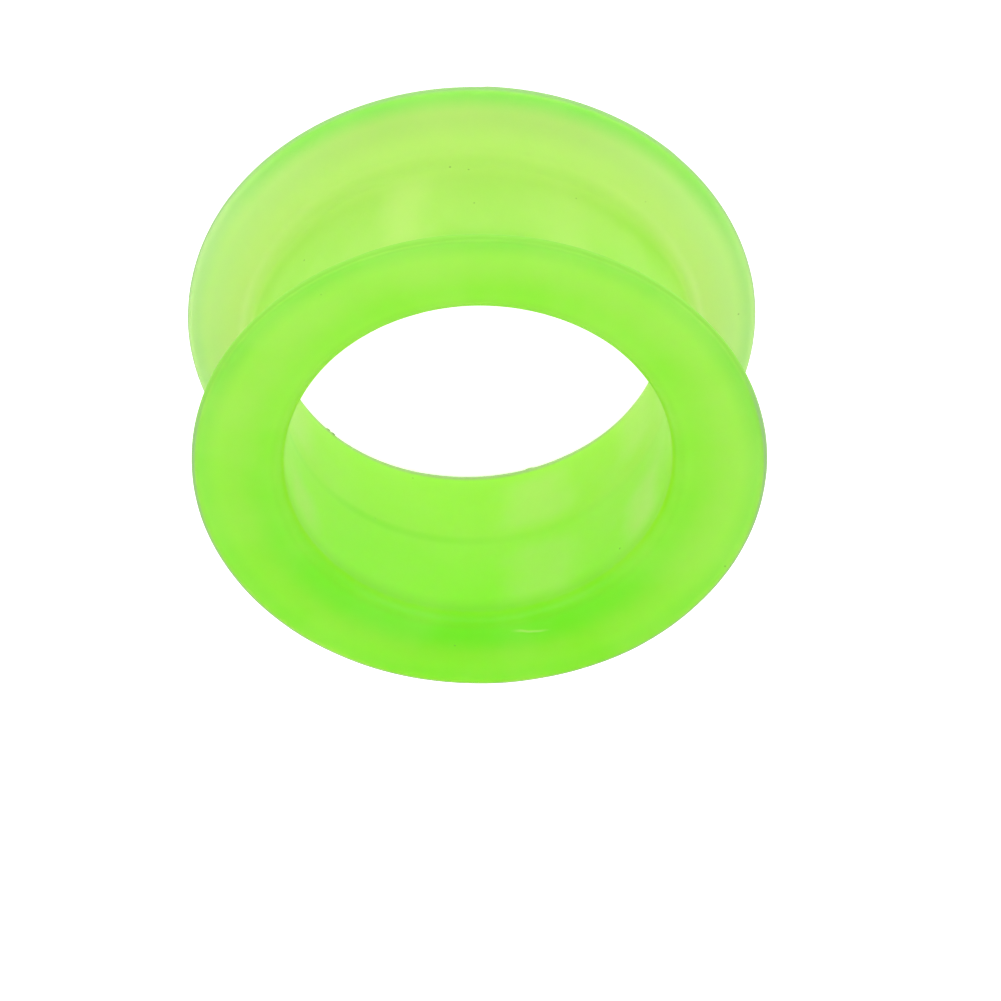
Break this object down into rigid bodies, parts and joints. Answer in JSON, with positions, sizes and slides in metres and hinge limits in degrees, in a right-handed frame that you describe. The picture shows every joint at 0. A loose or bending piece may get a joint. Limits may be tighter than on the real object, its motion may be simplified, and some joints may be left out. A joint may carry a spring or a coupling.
{
  "type": "hollow ear gauge plug",
  "caption": "Hollow ear gauge plug: a short soft silicone tunnel with an open bore, a straight barrel and a thin sloping flare at each end.",
  "frame": {"origin": "centre of the lower flare's end face, which the tunnel stands on", "axes": "+Z along the bore, from the lower flare to the upper one; the tunnel is round about it"},
  "size_m": [0.028, 0.028, 0.0122],
  "materials": {
    "silicone": "translucent lime green silicone, smooth satin as moulded"
  },
  "bodies": {
    "root": {"tunnel": "silicone"}
  },
  "joints": []
}
